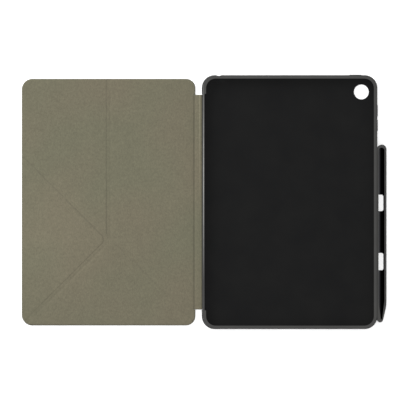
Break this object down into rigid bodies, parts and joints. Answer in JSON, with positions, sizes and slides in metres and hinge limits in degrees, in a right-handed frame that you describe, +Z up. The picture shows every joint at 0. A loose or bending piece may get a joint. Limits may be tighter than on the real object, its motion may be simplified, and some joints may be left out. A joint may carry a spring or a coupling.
{
  "type": "folding tablet case",
  "caption": "Open folding case for a tablet: creased stiff cover, narrow spine, soft moulded tray with a lip and button pads, and a pointed stylus channel on its side.",
  "frame": {"origin": "bottom centre of the open case's box, with the case lying flat on its outer leather", "axes": "+X from the cover to the tray, +Y to the tablet's camera end, +Z up out of the tray"},
  "size_m": [0.3674, 0.2559, 0.01],
  "materials": {
    "soft_shell": "matte black soft moulded plastic, fine spark texture",
    "outer_leather": "black synthetic leather, fine pebble grain",
    "inner_lining": "taupe brushed microfibre",
    "stiff_board": "grey fibre board",
    "magnet": "nickel-plated magnet bar"
  },
  "bodies": {
    "tray": {"back_shell": "soft_shell", "back_skin": "outer_leather", "hinge_lining_tab": "inner_lining", "pen_holder": "soft_shell"},
    "power_button": {"power_button_pad": "soft_shell"},
    "volume_up_button": {"volume_up_pad": "soft_shell"},
    "volume_down_button": {"volume_down_pad": "soft_shell"},
    "spine": {"spine_skin": "outer_leather", "spine_stiffener": "stiff_board", "spine_lining": "inner_lining"},
    "main_panel": {"main_panel_skin": "outer_leather", "main_panel_lining": "inner_lining", "main_panel_board": "stiff_board", "main_panel_magnets": "magnet"},
    "top_panel": {"top_panel_skin": "outer_leather", "top_panel_lining": "inner_lining", "top_panel_board": "stiff_board", "top_panel_magnets": "magnet"},
    "side_panel": {"side_panel_skin": "outer_leather", "side_panel_lining": "inner_lining", "side_panel_board": "stiff_board", "side_panel_magnets": "magnet"},
    "bottom_panel": {"bottom_panel_skin": "outer_leather", "bottom_panel_lining": "inner_lining", "bottom_panel_board": "stiff_board"}
  },
  "joints": [
    {"name": "spine_fold", "type": "hinge", "parent": "tray", "child": "spine", "pos_m": [-0.0023, 0, 0.0021], "axis": [0, -1, 0], "range_deg": [-90, 90]},
    {"name": "cover_fold", "type": "hinge", "parent": "spine", "child": "main_panel", "pos_m": [-0.0105, 0, 0.0021], "axis": [0, -1, 0], "range_deg": [-90, 90]},
    {"name": "upright_crease", "type": "hinge", "parent": "main_panel", "child": "top_panel", "pos_m": [-0.0971, -0.0378, 0.0021], "axis": [0, 1, 0], "range_deg": [0, 180]},
    {"name": "lower_right_crease", "type": "hinge", "parent": "main_panel", "child": "bottom_panel", "pos_m": [-0.0971, -0.0378, 0.0021], "axis": [-0.7071, 0.7071, 0], "range_deg": [0, 90]},
    {"name": "upper_left_crease", "type": "hinge", "parent": "top_panel", "child": "side_panel", "pos_m": [-0.0971, -0.0378, 0.0021], "axis": [0.7071, -0.7071, 0], "range_deg": [0, 90]},
    {"name": "power_press", "type": "slide", "parent": "tray", "child": "power_button", "axis": [0, -1, 0], "range_m": [0, 0.0004], "stiffness_N_per_m": 600},
    {"name": "volume_up_press", "type": "slide", "parent": "tray", "child": "volume_up_button", "axis": [-1, 0, 0], "range_m": [0, 0.0004], "stiffness_N_per_m": 600},
    {"name": "volume_down_press", "type": "slide", "parent": "tray", "child": "volume_down_button", "axis": [-1, 0, 0], "range_m": [0, 0.0004], "stiffness_N_per_m": 600}
  ],
  "couplings": [
    {"joint": "lower_right_crease", "follows": "upright_crease", "ratio": 0.5},
    {"joint": "upper_left_crease", "follows": "upright_crease", "ratio": 0.5}
  ]
}
